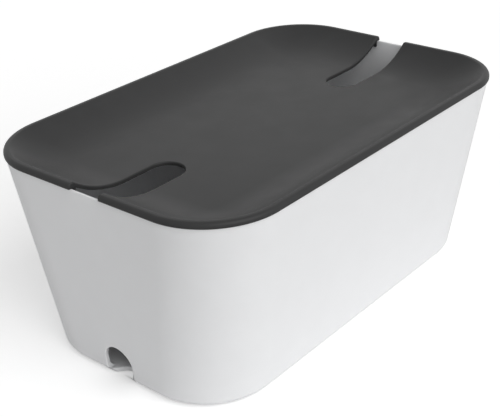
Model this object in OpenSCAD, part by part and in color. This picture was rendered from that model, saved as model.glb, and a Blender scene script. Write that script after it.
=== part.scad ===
// Cable management box: an open tub with leaning walls, two cable outlets at its
// base and a dished lid that lifts off. Two slots in the lid let charging leads up.
// Millimetres. X runs along the box, Y across it and Z up from the table.

/* [Overall] */
// Length of the lid, the longest size of the box
lid_l = 305; // [250:1:400]
// Width of the lid
lid_w = 198; // [160:1:260]
// Height from the table to the top of the lid's rim
overall_h = 133.5; // [100:0.5:180]

/* [Tub] */
// Thickness of the tub's walls at the floor
wall = 3; // [2:0.1:4]
// Thickness that the walls thin out to at the rim
rim_wall = 1.6; // [1.2:0.1:2]
// Thickness of the tub's floor
floor_t = 3; // [2:0.1:4]
// How far each end wall leans in between its top and the base
end_lean = 10.5; // [4:0.5:20]
// How far each long wall leans in between its top and the base
side_lean = 20.5; // [4:0.5:26]
// Corner radius of the walls where they would meet the base unrounded, seen from above
base_corner_r = 44.5; // [30:0.5:46]
// Rounding of the outer edge between walls and base
base_edge_r = 5; // [2:0.5:8]

/* [Cable outlets] */
// Width of the round-topped outlet at the foot of each end wall
outlet_w = 23; // [16:0.5:27]
// Height of the outlet above the underside of the tub
outlet_h = 23; // [20:0.5:30]
// Rounding of the outlet's two lower corners, where its sides meet the floor
outlet_corner_r = 2.5; // [1:0.5:3]
// How far the notch in the sill under the outlet reaches in at its middle
notch_depth = 8.5; // [7:0.5:14]

/* [Lid] */
// Corner radius of the lid, seen from above
lid_corner_r = 47; // [46:0.5:60]
// Height of the lid's edge above the tub's rim
rim_h = 3.6; // [3:0.1:6]
// Rounding of the rim's outer top edge
rim_edge_r = 2.4; // [0.5:0.1:2.8]
// Width of the rim's crest, measured in from the lid's side
rim_crest_w = 4.6; // [3.8:0.1:6]
// Depth of the dished tray below the rim
dish_depth = 13; // [8:0.5:18]
// Width of the curved slope from the lid's side to the flat of the tray
dish_run = 42; // [25:0.5:44]
// Thickness of the lid
lid_t = 2.5; // [1.8:0.1:3.5]
// How far the lid's edge stands out over the tub's wall
overhang = 0.8; // [0:0.1:1.5]

/* [Lid slots] */
// Width of each lead slot
slot_w = 23; // [12:0.5:32]
// Length of each lead slot, from the lid's side to its round end
slot_l = 75; // [50:1:100]

/* [Locating rib] */
// Height of the rib that keeps the lid in place inside the tub
rib_h = 4; // [2:0.5:8]
// Thickness of the rib
rib_t = 1.8; // [1.2:0.1:3]
// Gap between the rib and the tub's walls
rib_clearance = 0.4; // [0.2:0.1:1]

/* [Feet] */
// Diameter of each non-slip foot
foot_d = 14; // [8:0.5:20]
// How far the feet hold the tub off the table
foot_stand = 1; // [0.6:0.1:2]
// Depth of the recess that holds each foot
foot_seat = 0.7; // [0.3:0.1:1.2]
// Gap round each foot in its recess
foot_gap = 0.15; // [0.05:0.05:0.4]
// Distance from the corner of the base to the middle of a foot, both ways
foot_inset = 30; // [22:0.5:40]

/* [Hidden] */

// Facets of a full round: fine for exact rounds, plainer inside a hull
round_fn = 96;
shell_fn = 48;
// Cuts run this far past the faces that they cut
past = 5;

seat_z = overall_h - rim_h;
tub_h = seat_z - foot_stand;
tub_l = lid_l - 2 * overhang;
tub_w = lid_w - 2 * overhang;
tub_corner_r = lid_corner_r - overhang;
base_l = tub_l - 2 * end_lean;
base_w = tub_w - 2 * side_lean;

// Straight steps that the notch's bell is drawn with
notch_steps = 24;

// The rib hangs where the leaning walls leave the least room, plus its gap
inner_lean = max(end_lean, side_lean) + wall - rim_wall;
rib_inset = overhang + rim_wall + rib_clearance + rib_h * inner_lean / tub_h;

// The tray's slope is an arc that meets the flat of the tray without a kink
slope_w = dish_run - rim_crest_w;
slope_drop = dish_depth - rim_edge_r / 4;
slope_r = (slope_w * slope_w + slope_drop * slope_drop) / (2 * slope_drop);
slope_angle = asin(slope_w / slope_r);
slope_steps = 12;
edge_steps = 5;
tray_z = overall_h - dish_depth;

foot_x = base_l / 2 - foot_inset;
foot_y = base_w / 2 - foot_inset;

// Outline of the tub at a share of its height, 0 at the base and 1 at the rim
function along(low, high, share) = low + (high - low) * share;
function share_at(z) = (z - foot_stand) / tub_h;

// Height of a curve that runs under or over the slope, drop below the tray's surface
function slope_z(inset, drop) =
    tray_z + slope_r - sqrt(pow(slope_r + drop, 2) - pow(dish_run - inset, 2));

// Rounded rectangle from plain squares and circles, so that its arcs stay true
module rounded_rect(l, w, r, fn) {
    square([l, w - 2 * r], center = true);
    square([l - 2 * r, w], center = true);
    for (x = [-1, 1], y = [-1, 1])
        translate([x * (l / 2 - r), y * (w / 2 - r)])
            circle(r = r, $fn = fn);
}

// Thin layer of the tub's outline at height z, drawn in by inset
module tub_layer(z, inset) {
    share = share_at(z);
    l = along(base_l, tub_l, share) - 2 * inset;
    w = along(base_w, tub_w, share) - 2 * inset;
    r = along(base_corner_r, tub_corner_r, share) - inset;
    translate([0, 0, z])
        linear_extrude(height = 0.01)
            rounded_rect(l, w, r, shell_fn);
}

// Outside of the tub with its rounded base edge
module tub_outside() {
    hull() {
        tub_layer(seat_z - 0.01, 0);
        for (step = [0:edge_steps]) {
            turn = 90 * step / edge_steps;
            tub_layer(foot_stand + base_edge_r * (1 - sin(turn)), base_edge_r * (1 - cos(turn)));
        }
    }
}

// Room inside the tub, open at the top
module tub_inside() {
    hull() {
        tub_layer(seat_z + past, along(wall, rim_wall, share_at(seat_z + past)));
        tub_layer(foot_stand + floor_t, along(wall, rim_wall, share_at(foot_stand + floor_t)));
    }
}

// Front view of an outlet: a round top, straight sides and rounded lower corners.
// It stops at the top of the floor, so that the floor's edge stays as a sill.
module outlet_outline() {
    half = outlet_w / 2;
    corner_y = half - outlet_corner_r;
    corner_z = floor_t + outlet_corner_r;
    translate([0, outlet_h - half])
        circle(r = half, $fn = round_fn);
    translate([-half, corner_z])
        square([outlet_w, outlet_h - half - corner_z]);
    translate([-corner_y, floor_t])
        square([2 * corner_y, outlet_h - half - floor_t]);
    for (side = [-1, 1])
        translate([side * corner_y, corner_z])
            circle(r = outlet_corner_r, $fn = round_fn);
}

// Plan of the notch in the sill: a smooth bell as wide as the outlet, open towards the outside
module notch_outline() {
    polygon(concat(
        [for (step = [0:notch_steps])
            let (y = outlet_w * (step / notch_steps - 0.5))
            [base_l / 2 - notch_depth * (1 + cos(360 * y / outlet_w)) / 2, y]],
        [[base_l / 2 + past, outlet_w / 2], [base_l / 2 + past, -outlet_w / 2]]
    ));
}

// Cut for the outlet at the +X end: through the wall, and the notch down through its sill
module outlet_cut() {
    translate([base_l / 2 - wall - past, 0, foot_stand])
        rotate([90, 0, 90])
            linear_extrude(height = wall + end_lean + 2 * past)
                outlet_outline();
    translate([0, 0, foot_stand - past])
        linear_extrude(height = past + floor_t + outlet_corner_r)
            notch_outline();
}

module tub() {
    color("white")
        difference() {
            tub_outside();
            tub_inside();
            outlet_cut();
            mirror([1, 0, 0])
                outlet_cut();
            for (x = [-1, 1], y = [-1, 1])
                translate([x * foot_x, y * foot_y, 0])
                    cylinder(d = foot_d + 2 * foot_gap, h = foot_stand + foot_seat, $fn = round_fn);
        }
}

// Section through the lid's edge, slope and rib: X is measured in from the lid's side
module edge_section() {
    rib_inner = rib_inset + rib_t;
    polygon(concat(
        [[0, seat_z]],
        [for (step = [0:edge_steps])
            let (turn = 90 * step / edge_steps)
            [rim_edge_r * (1 - cos(turn)), overall_h - rim_edge_r * (1 - sin(turn))]],
        [[rim_crest_w - rim_edge_r / 2, overall_h]],
        [for (step = [0:slope_steps])
            let (inset = dish_run - slope_r * sin(slope_angle * (1 - step / slope_steps)))
            [inset, slope_z(inset, 0)]],
        [for (step = [0:slope_steps])
            let (inset = dish_run - (dish_run - rib_inner) * step / slope_steps)
            [inset, slope_z(inset, lid_t)]],
        [[rib_inner, seat_z - rib_h], [rib_inset, seat_z - rib_h], [rib_inset, seat_z]]
    ));
}

// Straight run of the edge section along X, with its outer side facing -Y
module edge_run(l, w) {
    translate([-l / 2 + lid_corner_r, -w / 2, 0])
        rotate([90, 0, 90])
            linear_extrude(height = l - 2 * lid_corner_r)
                edge_section();
}

// Quarter turn of the edge section for one corner of the lid
module edge_corner() {
    rotate_extrude(angle = 90, $fn = round_fn)
        translate([lid_corner_r, 0])
            mirror([1, 0])
                edge_section();
}

// The whole lid before its slots are cut
module lid_blank() {
    for (turn = [0, 180])
        rotate([0, 0, turn]) {
            edge_run(lid_l, lid_w);
            rotate([0, 0, 90])
                edge_run(lid_w, lid_l);
            translate([lid_l / 2 - lid_corner_r, lid_w / 2 - lid_corner_r, 0])
                edge_corner();
            translate([-lid_l / 2 + lid_corner_r, lid_w / 2 - lid_corner_r, 0])
                rotate([0, 0, 90])
                    edge_corner();
        }
    translate([0, 0, tray_z - lid_t])
        linear_extrude(height = lid_t)
            rounded_rect(lid_l - 2 * dish_run, lid_w - 2 * dish_run, lid_corner_r - dish_run, round_fn);
}

// Straight-sided slot with a round inner end, open through the rim at the +X end
module slot_cut() {
    round_x = lid_l / 2 - slot_l + slot_w / 2;
    translate([0, 0, tray_z - lid_t - past])
        linear_extrude(height = dish_depth + lid_t + 2 * past) {
            translate([round_x, 0])
                circle(d = slot_w, $fn = round_fn);
            translate([round_x, -slot_w / 2])
                square([slot_l, slot_w]);
        }
}

module lid() {
    color("dimgray")
        difference() {
            lid_blank();
            slot_cut();
            mirror([1, 0, 0])
                slot_cut();
        }
}

// One foot, standing on the table with its top in the recess
module foot(x, y) {
    color("black")
        translate([x * foot_x, y * foot_y, 0])
            cylinder(d = foot_d, h = foot_stand + foot_seat, $fn = round_fn);
}

tub();
lid();
foot(-1, -1);  // foot_1
foot(1, -1);  // foot_2
foot(1, 1);  // foot_3
foot(-1, 1);  // foot_4
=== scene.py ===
"""Cable management box, laid out as a Blender add-on.

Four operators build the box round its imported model: the white tub, the dished lid, the
four feet and the studio. Lengths are in metres. X runs along the box, Y across it and Z
up from the table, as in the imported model.
"""

import math

import bmesh
import bpy
from bpy.props import FloatProperty, FloatVectorProperty, PointerProperty
from mathutils import Matrix, Vector


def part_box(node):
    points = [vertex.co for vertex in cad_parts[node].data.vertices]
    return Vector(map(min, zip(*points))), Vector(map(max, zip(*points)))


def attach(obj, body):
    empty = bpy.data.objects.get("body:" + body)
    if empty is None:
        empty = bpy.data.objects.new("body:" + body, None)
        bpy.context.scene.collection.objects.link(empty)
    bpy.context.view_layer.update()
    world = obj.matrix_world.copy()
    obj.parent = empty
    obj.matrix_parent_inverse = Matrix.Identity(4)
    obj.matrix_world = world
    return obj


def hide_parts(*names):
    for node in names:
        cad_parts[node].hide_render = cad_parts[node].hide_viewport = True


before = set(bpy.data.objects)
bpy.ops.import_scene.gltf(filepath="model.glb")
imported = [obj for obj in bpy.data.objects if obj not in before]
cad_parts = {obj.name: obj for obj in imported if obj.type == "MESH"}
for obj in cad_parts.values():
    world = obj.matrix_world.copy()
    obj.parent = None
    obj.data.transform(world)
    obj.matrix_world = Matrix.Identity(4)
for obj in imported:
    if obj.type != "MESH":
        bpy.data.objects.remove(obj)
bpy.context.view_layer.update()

bl_info = {
    "name": "Cable Management Box",
    "version": (1, 0, 0),
    "blender": (4, 5, 0),
    "location": "View3D > Sidebar > Cable Box",
    "description": "Builds a cable management box with a dished lid that lifts off",
    "category": "Add Mesh",
}

MM = 0.001
FEET = ("foot_1", "foot_2", "foot_3", "foot_4")

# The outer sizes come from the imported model, so the pieces fit it whatever its size is
TUB_LOW, TUB_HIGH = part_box("tub")
LID_LOW, LID_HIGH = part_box("lid")

# Faces on a quarter round: of an outline's corner, a wide fillet and a small one
CORNER_STEPS = 32
FILLET_STEPS = 8
EDGE_STEPS = 5
# Faces down the dish's long curve
DISH_STEPS = 24
# Cutters run this far past what they cut
PAST = 5 * MM
# Vertices that lie this close together become one: in every mesh, and where cutters meet
WELD = 0.001 * MM
SLIVER = 0.12 * MM
# Faces that meet at more than this angle make a sharp edge, rounded in this many steps
SHARP = math.radians(35)
SHARP_STEPS = 3

# The hollow under a foot: its share of the foot's radius, and the rings that it is made of
HOLLOW_SHARE = 0.6
HOLLOW_STEPS = 5

# A noise's values lie mostly between these two
NOISE_LOW = 0.3
NOISE_HIGH = 0.7
# Moulded surfaces: slow waves and their depth, and patches with their change in roughness
WAVE = 40 * MM
WAVE_DEPTH = 0.06 * MM
PATCH = 18 * MM
PATCH_ROUGHNESS = 0.08
# Layers of finer detail in the grain, the waves and the patches
GRAIN_DETAIL = 3
WAVE_DETAIL = 1
PATCH_DETAIL = 4
# How strongly the plastics and the rubber bend and reflect light
PLASTIC_IOR = 1.49
LID_SPECULAR = 0.17
RUBBER_SPECULAR = 0.3
# How much of the white plastic's light passes under its surface, and how far
GLOW_SHARE = 0.4
GLOW_DEPTH = 4 * MM

# The camera's sensor, in millimetres, and the nearest distance that it sees
SENSOR = 36
NEAREST = 10 * MM
# How far the floor reaches from its middle, in metres
FLOOR_REACH = 4


def size_property(name, description, default):
    """A length that can be set in the sidebar."""
    return FloatProperty(
        name=name, description=description, default=default, min=0, unit="LENGTH", precision=4
    )


def angle_property(name, description, degrees):
    """An angle that can be set in the sidebar."""
    return FloatProperty(
        name=name, description=description, default=math.radians(degrees), unit="ROTATION"
    )


def level_property(name, description, default, most=10):
    """A plain number that can be set in the sidebar, such as a roughness or a light's strength."""
    return FloatProperty(name=name, description=description, default=default, min=0, max=most)


def colour_property(name, description, default):
    """A linear colour that can be set in the sidebar."""
    return FloatVectorProperty(
        name=name, description=description, default=default, subtype="COLOR", min=0, max=1
    )


class TubShape(bpy.types.PropertyGroup):
    """Sizes of the tub."""

    length: size_property("Length", "Length at the rim", TUB_HIGH.x - TUB_LOW.x)
    width: size_property("Width", "Width at the rim", TUB_HIGH.y - TUB_LOW.y)
    top: size_property("Top", "Height of the rim above the table", TUB_HIGH.z)
    bottom: size_property("Bottom", "Height of the underside above the table", TUB_LOW.z)
    wall: size_property("Wall", "Thickness of the walls at the underside", 3 * MM)
    rim_wall: size_property("Rim wall", "Thickness that the walls thin out to at the rim", 1.6 * MM)
    floor: size_property("Floor", "Thickness of the floor", 3 * MM)
    end_lean: size_property("End lean", "How far each end wall leans in to the base", 10.5 * MM)
    side_lean: size_property("Side lean", "How far each long wall leans in to the base", 20.5 * MM)
    rim_corner: size_property("Rim corner", "Corner radius at the rim", 46.2 * MM)
    base_corner: size_property("Base corner", "Corner radius at the unrounded base", 44.5 * MM)
    base_edge: size_property("Base edge", "Rounding between the walls and the base", 5 * MM)
    inner_edge: size_property("Inner edge", "Rounding between the walls and the floor", 4 * MM)
    rim_edge: size_property("Rim edge", "Rounding of the rim's two edges", 0.6 * MM)


class OutletShape(bpy.types.PropertyGroup):
    """Sizes of the cable outlet at the foot of each end wall."""

    width: size_property("Width", "Width of the outlet", 23 * MM)
    height: size_property("Height", "Height above the tub's underside", 23 * MM)
    corner: size_property("Corner", "Rounding of the two lower corners", 2.5 * MM)
    notch: size_property("Notch", "How far the notch in the sill reaches in", 8.5 * MM)
    over_sill: size_property("Over sill", "How far the notch is cut above the sill", 0.45 * MM)
    lip: size_property("Lip", "Rounding of the outlet's edges", 0.6 * MM)


class LidShape(bpy.types.PropertyGroup):
    """Sizes of the lid."""

    length: size_property("Length", "Length of the lid", LID_HIGH.x - LID_LOW.x)
    width: size_property("Width", "Width of the lid", LID_HIGH.y - LID_LOW.y)
    top: size_property("Top", "Height of the rim's crest above the table", LID_HIGH.z)
    corner: size_property("Corner", "Corner radius", 47 * MM)
    rim_edge: size_property("Rim edge", "Rounding of the rim's outer top edge", 2.4 * MM)
    crest: size_property("Crest", "Distance from the lid's side to the crest's inner edge", 3.4 * MM)
    crest_edge: size_property("Crest edge", "Rounding between the crest and the dish", 2 * MM)
    lower_edge: size_property("Lower edge", "Rounding of the lid's lower edge", 0.4 * MM)
    dish_depth: size_property("Dish depth", "Depth of the tray below the crest", 13 * MM)
    dish_run: size_property("Dish run", "Distance from the lid's side to the flat tray", 42 * MM)
    thickness: size_property("Thickness", "Thickness of the dish and the tray", 2.5 * MM)
    rib_inset: size_property("Rib inset", "Distance from the lid's side to the rib", 3.5 * MM)
    rib_height: size_property("Rib height", "Height of the rib that keeps the lid in place", 4 * MM)
    rib_width: size_property("Rib width", "Thickness of the rib", 1.8 * MM)
    rib_edge: size_property("Rib edge", "Rounding of the rib's two edges", 0.5 * MM)


class SlotShape(bpy.types.PropertyGroup):
    """Sizes of the two lead slots in the lid."""

    width: size_property("Width", "Width of each slot", 23 * MM)
    length: size_property("Length", "Length from the lid's side to the round end", 75 * MM)
    lip: size_property("Lip", "Rounding of the slot's upper edge", 0.9 * MM)
    under_lip: size_property("Lower lip", "Rounding of the slot's lower edge", 0.4 * MM)


class FootShape(bpy.types.PropertyGroup):
    """Sizes of the feet."""

    gap: size_property("Gap", "Gap round each foot in its recess", 0.15 * MM)
    recess_edge: size_property("Recess edge", "Rounding of each recess's edges", 0.2 * MM)
    edge: size_property("Edge", "Rounding of each foot's two edges", 0.3 * MM)
    dimple: size_property("Dimple", "Depth of the shallow hollow under each foot", 0.25 * MM)


class BoxFinish(bpy.types.PropertyGroup):
    """Colours and surfaces."""

    tub_colour: colour_property("Tub", "Colour of the tub's plastic", (0.80, 0.805, 0.815))
    tub_roughness: level_property("Tub roughness", "Roughness of the tub", 0.42, 1)
    lid_colour: colour_property("Lid", "Colour of the lid's plastic", (0.034, 0.0342, 0.0345))
    lid_roughness: level_property("Lid roughness", "Roughness of the lid", 0.42, 1)
    foot_colour: colour_property("Feet", "Colour of the feet's rubber", (0.018, 0.018, 0.019))
    foot_roughness: level_property("Foot roughness", "Roughness of the feet", 0.8, 1)


class StudioSetup(bpy.types.PropertyGroup):
    """The camera, the lights and the floor."""

    azimuth: angle_property("Azimuth", "Where the camera stands, from the front towards +X", -50.07)
    elevation: angle_property("Elevation", "Height of the camera above the horizon", 27.52)
    roll: angle_property("Roll", "How far the camera is turned about its view", -2.23)
    distance: size_property("Distance", "From the camera to the point it aims at", 701.1 * MM)
    aim: FloatVectorProperty(
        name="Aim",
        description="Point that the camera aims at",
        default=(-2.5 * MM, -10 * MM, 61 * MM),
        subtype="TRANSLATION",
    )
    lens: FloatProperty(
        name="Lens", description="Focal length in millimetres", default=76, unit="CAMERA"
    )
    shift: FloatProperty(
        name="Shift", description="Sideways shift of the picture, as a share of it", default=-0.05
    )
    sky: level_property("Sky", "Strength of the even light from all round", 0.37)
    key: level_property("Key light", "Strength of the wide lamp at the front", 1.95)
    key_azimuth: angle_property("Key azimuth", "Where the wide lamp stands", -8)
    key_elevation: angle_property("Key elevation", "Height of the wide lamp", 36)
    key_spread: angle_property("Key spread", "Width of the lamp as the box sees it", 60)
    floor_colour: colour_property("Floor", "Colour of the floor", (0.9, 0.9, 0.9))
    floor_lift: level_property("Floor lift", "Light that only the camera sees on the floor", 0.35)


class CableBox(bpy.types.PropertyGroup):
    """All sizes, finishes and studio settings."""

    tub: PointerProperty(type=TubShape)
    outlet: PointerProperty(type=OutletShape)
    lid: PointerProperty(type=LidShape)
    slot: PointerProperty(type=SlotShape)
    foot: PointerProperty(type=FootShape)
    finish: PointerProperty(type=BoxFinish)
    studio: PointerProperty(type=StudioSetup)


# Outlines and meshes


def quarter(steps):
    """Angles from 0 to a quarter turn."""
    return [math.pi / 2 * step / steps for step in range(steps + 1)]


def rounding(radius, steps):
    """Points of a quarter round, as pairs that run from (0, radius) to (radius, 0)."""
    return [(radius * (1 - math.cos(a)), radius * (1 - math.sin(a))) for a in quarter(steps)]


def rounded_rectangle(length, width, radius):
    """Points of a rounded rectangle, anticlockwise from the +X side of its +X +Y corner."""
    points = []
    for turn, (side_x, side_y) in enumerate(((1, 1), (-1, 1), (-1, -1), (1, -1))):
        centre = Vector((side_x * (length / 2 - radius), side_y * (width / 2 - radius)))
        for angle in quarter(CORNER_STEPS):
            angle += turn * math.pi / 2
            points.append(centre + radius * Vector((math.cos(angle), math.sin(angle))))
    return points


def circle(radius, steps):
    """Points of a circle, anticlockwise."""
    turns = [2 * math.pi * step / steps for step in range(steps)]
    return [radius * Vector((math.cos(turn), math.sin(turn))) for turn in turns]


def ring(mesh, outline, z):
    """A ring of vertices at height z."""
    return [mesh.verts.new((point.x, point.y, z)) for point in outline]


def loft(mesh, rings, closed=True):
    """Faces between each ring of vertices and the next."""
    for low, high in zip(rings, rings[1:]):
        last = len(low) if closed else len(low) - 1
        for i in range(last):
            j = (i + 1) % len(low)
            mesh.faces.new((low[i], low[j], high[j], high[i]))


def prism(mesh, outline, low, high, place):
    """A closed prism over an outline, from height low to height high, moved by place."""
    rings = [ring(mesh, outline, z) for z in (low, high)]
    loft(mesh, rings)
    for end in rings:
        mesh.faces.new(end)
        for vertex in end:
            vertex.co = place @ vertex.co


def finished_object(name, mesh):
    """Closes a bmesh into a smooth-shaded object, in the place of any object of that name."""
    bmesh.ops.remove_doubles(mesh, verts=mesh.verts, dist=WELD)
    bmesh.ops.recalc_face_normals(mesh, faces=mesh.faces)
    for face in mesh.faces:
        face.smooth = True
    data = bpy.data.meshes.new(name)
    mesh.to_mesh(data)
    mesh.free()
    if name in bpy.data.objects:
        bpy.data.objects.remove(bpy.data.objects[name])
    made = bpy.data.objects.new(name, data)
    bpy.context.scene.collection.objects.link(made)
    return made


def apply_modifiers(made):
    """Turns an object's modifiers into its own mesh."""
    graph = bpy.context.evaluated_depsgraph_get()
    whole = made.evaluated_get(graph)
    made.data = bpy.data.meshes.new_from_object(
        whole, preserve_all_data_layers=True, depsgraph=graph
    )
    made.modifiers.clear()


def cut(made, cutter):
    """Takes a cutter's volume out of an object, and removes the cutter."""
    boolean = made.modifiers.new("Cut", "BOOLEAN")
    boolean.operation = "DIFFERENCE"
    boolean.solver = "EXACT"
    boolean.object = cutter
    faces_before = len(made.data.polygons)
    apply_modifiers(made)
    bpy.data.objects.remove(cutter)
    if len(made.data.polygons) < faces_before:
        raise RuntimeError(f"the cut left {made.name} with fewer faces than it had")


def round_sharp_edges(made, outlets_from, lip, recess_edge):
    """Rounds every edge that the cutters left sharp.

    Edges further than outlets_from along X belong to an outlet and are rounded by lip, and
    the others belong to a foot's recess and are rounded by recess_edge.
    """
    mesh = bmesh.new()
    mesh.from_mesh(made.data)
    bmesh.ops.remove_doubles(mesh, verts=mesh.verts, dist=SLIVER)
    weight = mesh.edges.layers.float.new("bevel_weight_edge")
    widths = {}
    for edge in mesh.edges:
        if edge.calc_face_angle(0) > SHARP:
            middle = (edge.verts[0].co + edge.verts[1].co) / 2
            widths[edge] = lip if abs(middle.x) > outlets_from else recess_edge
    widest = max(widths.values())
    for edge, width in widths.items():
        edge[weight] = width / widest
    mesh.to_mesh(made.data)
    mesh.free()
    bevel = made.modifiers.new("Round", "BEVEL")
    bevel.width = widest
    bevel.segments = SHARP_STEPS
    bevel.limit_method = "WEIGHT"
    bevel.use_clamp_overlap = False
    apply_modifiers(made)
    # The bevel leaves faces with two corners in one place
    mesh = bmesh.new()
    mesh.from_mesh(made.data)
    bmesh.ops.remove_doubles(mesh, verts=mesh.verts, dist=WELD)
    bmesh.ops.dissolve_degenerate(mesh, edges=mesh.edges, dist=WELD)
    mesh.to_mesh(made.data)
    mesh.free()


def settle_shading(made):
    """Weighs the normals by face area, so that flat walls stay flat beside their roundings."""
    weighted = made.modifiers.new("Shading", "WEIGHTED_NORMAL")
    weighted.mode = "FACE_AREA"
    weighted.keep_sharp = True
    apply_modifiers(made)


def check_frame_has(*names):
    """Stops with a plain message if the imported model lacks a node."""
    missing = [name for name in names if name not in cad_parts]
    if missing:
        raise RuntimeError(f"the packed model has no node named {', '.join(missing)}")


def hand_over(made, material, body, node):
    """Gives a piece its material and its body, and hides the imported node that it stands for."""
    made.data.materials.clear()
    made.data.materials.append(material)
    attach(made, body)
    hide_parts(node)


# The tub


def share_at(tub, z):
    """Share of the tub's height at which z lies: 0 at its underside and 1 at its rim."""
    return (z - tub.bottom) / (tub.top - tub.bottom)


def wall_at(tub, z):
    """Thickness of the walls at height z."""
    return tub.wall + (tub.rim_wall - tub.wall) * share_at(tub, z)


def tub_outline(tub, z, inset):
    """Outline of the leaning walls at height z, drawn in by inset."""
    share = share_at(tub, z)
    length = tub.length - 2 * tub.end_lean * (1 - share)
    width = tub.width - 2 * tub.side_lean * (1 - share)
    radius = tub.base_corner + (tub.rim_corner - tub.base_corner) * share
    return rounded_rectangle(length - 2 * inset, width - 2 * inset, radius - inset)


def tub_levels(tub):
    """Heights and insets of the tub's rings: over the floor, up, over the rim and down."""
    floor_z = tub.bottom + tub.floor
    levels = []
    for rise, inset in rounding(tub.inner_edge, FILLET_STEPS):
        z = floor_z + rise
        levels.append((z, wall_at(tub, z) + inset))
    for outset, drop in rounding(tub.rim_edge, EDGE_STEPS):
        z = tub.top - drop
        levels.append((z, wall_at(tub, z) - outset))
    for drop, inset in rounding(tub.rim_edge, EDGE_STEPS):
        levels.append((tub.top - drop, inset))
    for inset, rise in rounding(tub.base_edge, FILLET_STEPS):
        levels.append((tub.bottom + rise, inset))
    return levels


def tub_shell(tub):
    """The tub before its outlets are cut."""
    mesh = bmesh.new()
    rings = [ring(mesh, tub_outline(tub, z, inset), z) for z, inset in tub_levels(tub)]
    loft(mesh, rings)
    mesh.faces.new(rings[0])
    mesh.faces.new(rings[-1])
    return finished_object("tub_shell", mesh)


def outlet_outline(outlet, sill):
    """Front view of an outlet: a round top, straight sides and rounded corners on the sill."""
    half = outlet.width / 2
    arch = outlet.height - half
    side = []
    for rise, inset in rounding(outlet.corner, FILLET_STEPS):
        side.append(Vector((half - inset, sill + rise)))
    for a in quarter(2 * FILLET_STEPS):
        side.append(Vector((half * math.cos(a), arch + half * math.sin(a))))
    return side + [Vector((-point.x, point.y)) for point in reversed(side[:-1])]


def notch_outline(outlet):
    """Plan of the notch in the sill: a smooth bell, as wide as the outlet, that points inward."""
    half = outlet.width / 2
    steps = 4 * FILLET_STEPS
    curve = []
    for step in range(steps + 1):
        share = 2 * step / steps - 1
        curve.append(Vector((outlet.notch * (1 + math.cos(math.pi * share)) / 2, half * share)))
    return curve + [Vector((-PAST, half)), Vector((-PAST, -half))]


def outlet_cutters(tub, outlet):
    """Two cutters that hold both ends: the arches through the walls and the sills' notches."""
    base_end = tub.length / 2 - tub.end_lean
    # An arch is drawn flat and stood up across X, and a notch is drawn from the base's end inward
    upright = Matrix(((0, 0, 1, 0), (1, 0, 0, 0), (0, 1, 0, tub.bottom), (0, 0, 0, 1)))
    inward = Matrix.Translation((base_end, 0, 0)) @ Matrix.Rotation(math.pi, 4, "Z")
    arches, notches = bmesh.new(), bmesh.new()
    for side in (0, math.pi):
        turn = Matrix.Rotation(side, 4, "Z")
        prism(
            arches,
            outlet_outline(outlet, tub.floor),
            base_end - tub.wall - tub.inner_edge - PAST,
            base_end + tub.end_lean + PAST,
            turn @ upright,
        )
        prism(
            notches,
            notch_outline(outlet),
            tub.bottom - PAST,
            tub.bottom + tub.floor + outlet.over_sill,
            turn @ inward,
        )
    return finished_object("arch_cutter", arches), finished_object("notch_cutter", notches)


def recess_cutter(gap):
    """Cutter for the recesses that hold the feet."""
    mesh = bmesh.new()
    for name in FEET:
        low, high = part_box(name)
        middle = (low + high) / 2
        outline = circle((high.x - low.x) / 2 + gap, 2 * CORNER_STEPS)
        prism(mesh, outline, low.z - PAST, high.z, Matrix.Translation((middle.x, middle.y, 0)))
    return finished_object("recess_cutter", mesh)


class TubMaker(bpy.types.Operator):
    """Build the white tub with its leaning walls and two cable outlets"""

    bl_idname = "mesh.cable_box_tub"
    bl_label = "Build Tub"
    bl_options = {"REGISTER", "UNDO"}

    def execute(self, context):
        check_frame_has("tub", *FEET)
        box = context.scene.cable_box
        made = tub_shell(box.tub)
        for cutter in (*outlet_cutters(box.tub, box.outlet), recess_cutter(box.foot.gap)):
            cut(made, cutter)
        outlets_from = box.tub.length / 2 - box.tub.end_lean - box.outlet.notch - PAST
        round_sharp_edges(made, outlets_from, box.outlet.lip, box.foot.recess_edge)
        settle_shading(made)
        hand_over(made, tub_plastic(box.finish), "tub", "tub")
        return {"FINISHED"}


# The lid


def lid_section(lid, seat_z, lip, under_lip):
    """Section through the lid's edge, from the tray's top out over the rim and back below.

    Each point is its distance in from the lid's side, its height and the rounding that it
    takes where a slot cuts it.
    """
    crest_z = lid.top
    tray_z = crest_z - lid.dish_depth
    # The dish is two arcs that meet each other, the crest and the tray without a kink
    run = lid.dish_run - lid.crest
    slope = 2 * math.atan(lid.dish_depth / run)
    radius = (run * run + lid.dish_depth**2) / (2 * lid.dish_depth) - lid.crest_edge
    points = []
    for step in range(DISH_STEPS + 1):
        a = slope * step / DISH_STEPS
        z = tray_z + radius * (1 - math.cos(a))
        points.append((lid.dish_run - radius * math.sin(a), z, lip))
    for step in range(1, EDGE_STEPS + 1):
        a = slope * (1 - step / EDGE_STEPS)
        z = crest_z - lid.crest_edge * (1 - math.cos(a))
        points.append((lid.crest + lid.crest_edge * math.sin(a), z, lip))
    for drop, inset in rounding(lid.rim_edge, FILLET_STEPS):
        points.append((inset, crest_z - drop, lip))
    for inset, rise in rounding(lid.lower_edge, EDGE_STEPS):
        points.append((inset, seat_z + rise, under_lip))
    rib_z = seat_z - lid.rib_height
    rib_inner = lid.rib_inset + lid.rib_width
    points.append((lid.rib_inset, seat_z, under_lip))
    for inset, rise in rounding(lid.rib_edge, EDGE_STEPS):
        points.append((lid.rib_inset + inset, rib_z + rise, under_lip))
    for rise, inset in rounding(lid.rib_edge, EDGE_STEPS):
        points.append((rib_inner - inset, rib_z + rise, under_lip))
    under = radius + lid.thickness
    start = math.asin((lid.dish_run - rib_inner) / under)
    for step in range(DISH_STEPS + 1):
        a = start * (1 - step / DISH_STEPS)
        z = tray_z + radius - under * math.cos(a)
        points.append((lid.dish_run - under * math.sin(a), z, under_lip))
    return points


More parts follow.
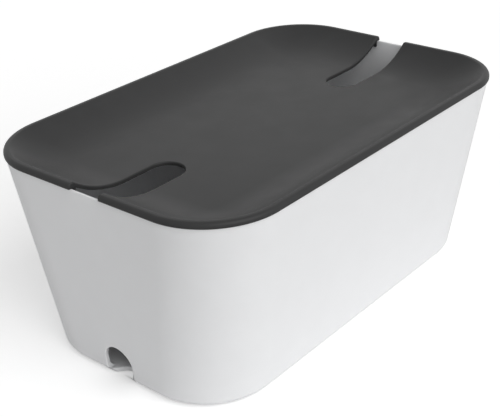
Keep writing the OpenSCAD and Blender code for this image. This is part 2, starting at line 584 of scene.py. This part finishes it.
def outward_normals(section):
    """Unit normals of a section's points, away from the material, as (in, up) pairs."""
    flat = [Vector(point[:2]) for point in section]
    normals = []
    for i in range(len(flat)):
        along = flat[min(i + 1, len(flat) - 1)] - flat[max(i - 1, 0)]
        normals.append(Vector((along.y, -along.x)).normalized())
    # Both ends meet the flat tray, so they face straight up and straight down
    normals[0], normals[-1] = Vector((0, 1)), Vector((0, -1))
    return normals


class LidColumn:
    """One place round the -Y half of the lid's edge: a point on its side, and the way in.

    A column on the rounding of a slot's edge also has lip_turn, its angle round it.
    """

    def __init__(self, point, inward, lip_turn=None):
        self.point = point
        self.inward = inward
        self.lip_turn = lip_turn

    def vertex(self, inset, z, lip, normal):
        """Place of one point of the section in this column."""
        place = self.point + self.inward * inset
        if self.lip_turn is not None:
            sink = lip * (1 - math.cos(self.lip_turn))
            place = place - self.inward * (normal.x * sink)
            z -= normal.y * sink
            place.y -= lip * (1 - math.sin(self.lip_turn))
        return (place.x, place.y, z)


def lid_columns(lid, slot):
    """Columns of the half of the lid that lies on the -Y side, from slot to slot."""
    half_slot = slot.width / 2
    outline = rounded_rectangle(lid.length, lid.width, lid.corner)
    count = CORNER_STEPS + 1
    corners = (outline[3 * count :], outline[2 * count : 3 * count])
    columns = []
    for corner, side in zip(corners, (1, -1)):
        end = Vector((side * lid.length / 2, -half_slot))
        lips = [LidColumn(end, Vector((-side, 0)), a) for a in reversed(quarter(EDGE_STEPS))]
        middle = Vector((side * (lid.length / 2 - lid.corner), -(lid.width / 2 - lid.corner)))
        arc = [LidColumn(p, (middle - p).normalized()) for p in reversed(corner)]
        columns += lips + arc if side > 0 else arc + lips[::-1]
    return columns


def slot_path(lid, slot):
    """Outline of the +X slot inside the flat tray, with the way into the material."""
    half = slot.width / 2
    start = lid.length / 2 - lid.dish_run
    round_x = lid.length / 2 - slot.length + half
    path = [(Vector((start, -half)), Vector((0, -1)))]
    steps = 2 * CORNER_STEPS
    for step in range(steps + 1):
        a = -math.pi / 2 - math.pi * step / steps
        way = Vector((math.cos(a), math.sin(a)))
        path.append((Vector((round_x, 0)) + half * way, way))
    path.append((Vector((start, half)), Vector((0, 1))))
    return path


def lid_shell(lid, slot, seat_z):
    """The whole lid: two swept halves of its edge, the tray between them and the slots' walls."""
    section = lid_section(lid, seat_z, slot.lip, slot.under_lip)
    normals = outward_normals(section)
    columns = lid_columns(lid, slot)
    tray_z = lid.top - lid.dish_depth
    under_z = tray_z - lid.thickness
    mesh = bmesh.new()
    sweeps = []
    for mirror in (1, -1):
        sweep = []
        for column in columns:
            places = [column.vertex(*point, normal) for point, normal in zip(section, normals)]
            sweep.append([mesh.verts.new((x, y * mirror, z)) for x, y, z in places])
        loft(mesh, sweep, closed=False)
        mesh.faces.new(sweep[0])
        mesh.faces.new(sweep[-1])
        sweeps.append(sweep)
    path = slot_path(lid, slot)
    rows = [(out, tray_z - drop) for drop, out in rounding(slot.lip, EDGE_STEPS)]
    for rise, out in reversed(rounding(slot.under_lip, EDGE_STEPS)):
        rows.append((out, under_z + rise))
    for side in (1, -1):
        rings = []
        for out, z in rows:
            places = [point + way * out for point, way in path]
            rings.append([mesh.verts.new((side * p.x, p.y, z)) for p in places])
        loft(mesh, rings, closed=False)
    for z, end, lip in ((tray_z, 0, slot.lip), (under_z, -1, slot.under_lip)):
        front = [column[end].co.copy() for column in sweeps[0][EDGE_STEPS:-EDGE_STEPS]]
        rim_path = [p + way * lip for p, way in path]
        left = [Vector((-p.x, p.y, z)) for p in rim_path]
        right = [Vector((p.x, p.y, z)) for p in reversed(rim_path)]
        back = [Vector((co.x, -co.y, z)) for co in reversed(front)]
        places = front + left[1:-1] + back + right[1:-1]
        mesh.faces.new([mesh.verts.new(place) for place in places])
    return finished_object("lid_shell", mesh)


class LidMaker(bpy.types.Operator):
    """Build the dark dished lid with its two lead slots"""

    bl_idname = "mesh.cable_box_lid"
    bl_label = "Build Lid"
    bl_options = {"REGISTER", "UNDO"}

    def execute(self, context):
        check_frame_has("lid")
        box = context.scene.cable_box
        made = lid_shell(box.lid, box.slot, box.tub.top)
        settle_shading(made)
        hand_over(made, lid_plastic(box.finish), "lid", "lid")
        return {"FINISHED"}


# The feet


def foot_pad(name, foot):
    """One foot: a round pad with rounded edges and a shallow hollow beneath."""
    low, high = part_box(name)
    middle = (low + high) / 2
    radius = (high.x - low.x) / 2
    steps = 2 * CORNER_STEPS
    levels = []
    for step in range(1, HOLLOW_STEPS + 1):
        share = step / HOLLOW_STEPS
        levels.append((radius * HOLLOW_SHARE * share, low.z + foot.dimple * (1 - share**2)))
    for rise, inset in rounding(foot.edge, EDGE_STEPS):
        levels.append((radius - inset, low.z + rise))
    for inset, drop in rounding(foot.edge, EDGE_STEPS):
        levels.append((radius - inset, high.z - drop))
    mesh = bmesh.new()
    rings = [ring(mesh, circle(r, steps), z) for r, z in levels]
    loft(mesh, rings)
    mesh.faces.new(rings[0])
    mesh.faces.new(rings[-1])
    for vertex in mesh.verts:
        vertex.co += Vector((middle.x, middle.y, 0))
    made = finished_object(name + "_pad", mesh)
    settle_shading(made)
    return made


class FeetMaker(bpy.types.Operator):
    """Build the four rubber feet"""

    bl_idname = "mesh.cable_box_feet"
    bl_label = "Build Feet"
    bl_options = {"REGISTER", "UNDO"}

    def execute(self, context):
        check_frame_has(*FEET)
        box = context.scene.cable_box
        rubber = foot_rubber(box.finish)
        for name in FEET:
            made = foot_pad(name, box.foot)
            hand_over(made, rubber, "tub", name)
        return {"FINISHED"}


# Materials


def new_material(name):
    """A material with an empty tree but for its shader and output."""
    if name in bpy.data.materials:
        bpy.data.materials.remove(bpy.data.materials[name])
    material = bpy.data.materials.new(name)
    material.use_nodes = True
    tree = material.node_tree
    tree.nodes.clear()
    shader = tree.nodes.new("ShaderNodeBsdfPrincipled")
    output = tree.nodes.new("ShaderNodeOutputMaterial")
    tree.links.new(shader.outputs["BSDF"], output.inputs["Surface"])
    return material, tree, shader


def noise(tree, grain, detail):
    """Noise whose features are about grain metres across, fixed to the piece."""
    place = tree.nodes.new("ShaderNodeTexCoord")
    texture = tree.nodes.new("ShaderNodeTexNoise")
    texture.inputs["Scale"].default_value = 1 / grain
    texture.inputs["Detail"].default_value = detail
    tree.links.new(place.outputs["Object"], texture.inputs["Vector"])
    return texture.outputs["Fac"]


def spread(tree, value, low, high):
    """Maps the middle of a noise onto a range."""
    node = tree.nodes.new("ShaderNodeMapRange")
    node.inputs["From Min"].default_value = NOISE_LOW
    node.inputs["From Max"].default_value = NOISE_HIGH
    node.inputs["To Min"].default_value = low
    node.inputs["To Max"].default_value = high
    tree.links.new(value, node.inputs["Value"])
    return node.outputs["Result"]


def tinted(tree, value, colour, change):
    """A colour that a noise makes a little darker and lighter."""
    node = tree.nodes.new("ShaderNodeMix")
    node.data_type = "RGBA"
    node.inputs["A"].default_value = (*(c * (1 - change) for c in colour), 1)
    node.inputs["B"].default_value = (*(min(c * (1 + change), 1) for c in colour), 1)
    tree.links.new(value, node.inputs["Factor"])
    return node.outputs["Result"]


def bump(tree, height, depth, below=None):
    """Relief of a real depth in metres, over an earlier one if there is one."""
    node = tree.nodes.new("ShaderNodeBump")
    node.inputs["Strength"].default_value = 1
    node.inputs["Distance"].default_value = depth
    tree.links.new(height, node.inputs["Height"])
    if below:
        tree.links.new(below, node.inputs["Normal"])
    return node.outputs["Normal"]


def moulded_plastic(name, colour, roughness, grain, grain_depth, change):
    """Moulded plastic: a fine spark-eroded grain over slight waves, and patches a touch glossier."""
    material, tree, shader = new_material(name)
    fine = noise(tree, grain, GRAIN_DETAIL)
    waves = noise(tree, WAVE, WAVE_DETAIL)
    patches = noise(tree, PATCH, PATCH_DETAIL)
    tint = tinted(tree, spread(tree, patches, 0, 1), colour, change)
    tree.links.new(tint, shader.inputs["Base Color"])
    smoothest = roughness * (1 - PATCH_ROUGHNESS)
    roughest = roughness * (1 + PATCH_ROUGHNESS)
    tree.links.new(spread(tree, patches, smoothest, roughest), shader.inputs["Roughness"])
    relief = bump(tree, fine, grain_depth, bump(tree, waves, WAVE_DEPTH))
    tree.links.new(relief, shader.inputs["Normal"])
    return material, shader


def tub_plastic(finish):
    """White satin plastic."""
    material, shader = moulded_plastic(
        "tub_plastic",
        finish.tub_colour,
        finish.tub_roughness,
        grain=0.7 * MM,
        grain_depth=0.012 * MM,
        change=0.008,
    )
    shader.inputs["IOR"].default_value = PLASTIC_IOR
    shader.inputs["Subsurface Weight"].default_value = GLOW_SHARE
    shader.inputs["Subsurface Radius"].default_value = (1, 1, 1)
    shader.inputs["Subsurface Scale"].default_value = GLOW_DEPTH
    return material


def lid_plastic(finish):
    """Charcoal plastic with a matt, slightly soft surface."""
    material, shader = moulded_plastic(
        "lid_plastic",
        finish.lid_colour,
        finish.lid_roughness,
        grain=0.6 * MM,
        grain_depth=0.02 * MM,
        change=0.06,
    )
    shader.inputs["IOR"].default_value = PLASTIC_IOR
    shader.inputs["Specular IOR Level"].default_value = LID_SPECULAR
    return material


def foot_rubber(finish):
    """Black rubber, dull and slightly rough."""
    material, shader = moulded_plastic(
        "foot_rubber",
        finish.foot_colour,
        finish.foot_roughness,
        grain=0.4 * MM,
        grain_depth=0.02 * MM,
        change=0.1,
    )
    shader.inputs["Specular IOR Level"].default_value = RUBBER_SPECULAR
    return material


# The studio


def direction(azimuth, elevation):
    """Unit vector from the box towards a place round it; azimuth 0 is the -Y side."""
    return Vector(
        (
            math.sin(azimuth) * math.cos(elevation),
            -math.cos(azimuth) * math.cos(elevation),
            math.sin(elevation),
        )
    )


def add_camera(studio):
    """The camera, at the angle of the photograph."""
    data = bpy.data.cameras.new("camera")
    data.sensor_width = SENSOR
    data.lens = studio.lens
    data.shift_x = studio.shift
    data.clip_start = NEAREST
    camera = bpy.data.objects.new("camera", data)
    back = direction(studio.azimuth, studio.elevation)
    right = Vector((math.cos(studio.azimuth), math.sin(studio.azimuth), 0))
    up = back.cross(right)
    turned_right = right * math.cos(studio.roll) + up * math.sin(studio.roll)
    turned_up = back.cross(turned_right)
    pose = Matrix((turned_right, turned_up, back)).transposed().to_4x4()
    pose.translation = Vector(studio.aim) + back * studio.distance
    camera.matrix_world = pose
    bpy.context.scene.collection.objects.link(camera)
    bpy.context.scene.camera = camera


def add_key_light(studio):
    """One wide soft lamp, high at the front."""
    data = bpy.data.lights.new("key_light", "SUN")
    data.energy = studio.key
    data.angle = studio.key_spread
    lamp = bpy.data.objects.new("key_light", data)
    toward = direction(studio.key_azimuth, studio.key_elevation)
    lamp.rotation_euler = toward.to_track_quat("Z", "Y").to_euler()
    bpy.context.scene.collection.objects.link(lamp)


def seen_directly(tree):
    """1 where the camera, a reflection or a clear surface looks, and 0 for plain light."""
    path = tree.nodes.new("ShaderNodeLightPath")
    total = path.outputs["Is Camera Ray"]
    for name in ("Is Glossy Ray", "Is Transmission Ray"):
        larger = tree.nodes.new("ShaderNodeMath")
        larger.operation = "MAXIMUM"
        tree.links.new(total, larger.inputs[0])
        tree.links.new(path.outputs[name], larger.inputs[1])
        total = larger.outputs["Value"]
    return total


def add_sky(studio):
    """Even light from all round, which shows as plain white."""
    world = bpy.data.worlds.new("studio_sky")
    world.use_nodes = True
    bpy.context.scene.world = world
    tree = world.node_tree
    background = tree.nodes["Background"]
    background.inputs["Color"].default_value = (1, 1, 1, 1)
    strength = tree.nodes.new("ShaderNodeMapRange")
    strength.inputs["To Min"].default_value = studio.sky
    strength.inputs["To Max"].default_value = 1
    tree.links.new(seen_directly(tree), strength.inputs["Value"])
    tree.links.new(strength.outputs["Result"], background.inputs["Strength"])


def add_floor(studio):
    """A plain pale floor that keeps the box's shadow."""
    mesh = bmesh.new()
    bmesh.ops.create_grid(mesh, x_segments=1, y_segments=1, size=FLOOR_REACH)
    floor = finished_object("floor", mesh)
    material, tree, shader = new_material("floor_paint")
    shader.inputs["Base Color"].default_value = (*studio.floor_colour, 1)
    shader.inputs["Roughness"].default_value = 1
    shader.inputs["Specular IOR Level"].default_value = 0
    shader.inputs["Emission Color"].default_value = (1, 1, 1, 1)
    lift = tree.nodes.new("ShaderNodeMapRange")
    lift.inputs["To Max"].default_value = studio.floor_lift
    path = tree.nodes.new("ShaderNodeLightPath")
    tree.links.new(path.outputs["Is Camera Ray"], lift.inputs["Value"])
    tree.links.new(lift.outputs["Result"], shader.inputs["Emission Strength"])
    floor.data.materials.append(material)


class StudioMaker(bpy.types.Operator):
    """Set up the floor, the lights and the camera"""

    bl_idname = "scene.cable_box_studio"
    bl_label = "Set Up Studio"
    bl_options = {"REGISTER", "UNDO"}

    def execute(self, context):
        studio = context.scene.cable_box.studio
        add_camera(studio)
        add_key_light(studio)
        add_sky(studio)
        add_floor(studio)
        context.scene.view_settings.view_transform = "Standard"
        return {"FINISHED"}


class CableBoxPanel(bpy.types.Panel):
    """Lists the box's operators and settings in the sidebar"""

    bl_idname = "VIEW3D_PT_cable_box"
    bl_label = "Cable Box"
    bl_space_type = "VIEW_3D"
    bl_region_type = "UI"
    bl_category = "Cable Box"

    def draw(self, context):
        layout = self.layout
        box = context.scene.cable_box
        for maker, groups in (
            (TubMaker, (box.tub, box.outlet)),
            (LidMaker, (box.lid, box.slot)),
            (FeetMaker, (box.foot, box.finish)),
            (StudioMaker, (box.studio,)),
        ):
            section = layout.box()
            section.operator(maker.bl_idname)
            for group in groups:
                for name in group.__annotations__:
                    section.prop(group, name)


CLASSES = (
    TubShape,
    OutletShape,
    LidShape,
    SlotShape,
    FootShape,
    BoxFinish,
    StudioSetup,
    CableBox,
    TubMaker,
    LidMaker,
    FeetMaker,
    StudioMaker,
    CableBoxPanel,
)


def register():
    """Adds the operators, the panel and the box's settings."""
    for each in CLASSES:
        bpy.utils.register_class(each)
    bpy.types.Scene.cable_box = PointerProperty(type=CableBox)


def unregister():
    """Takes them away again."""
    del bpy.types.Scene.cable_box
    for each in reversed(CLASSES):
        bpy.utils.unregister_class(each)


def main():
    """Builds the whole box and its studio."""
    register()
    bpy.ops.scene.cable_box_studio()
    bpy.ops.mesh.cable_box_tub()
    bpy.ops.mesh.cable_box_lid()
    bpy.ops.mesh.cable_box_feet()


if __name__ == "__main__":
    main()
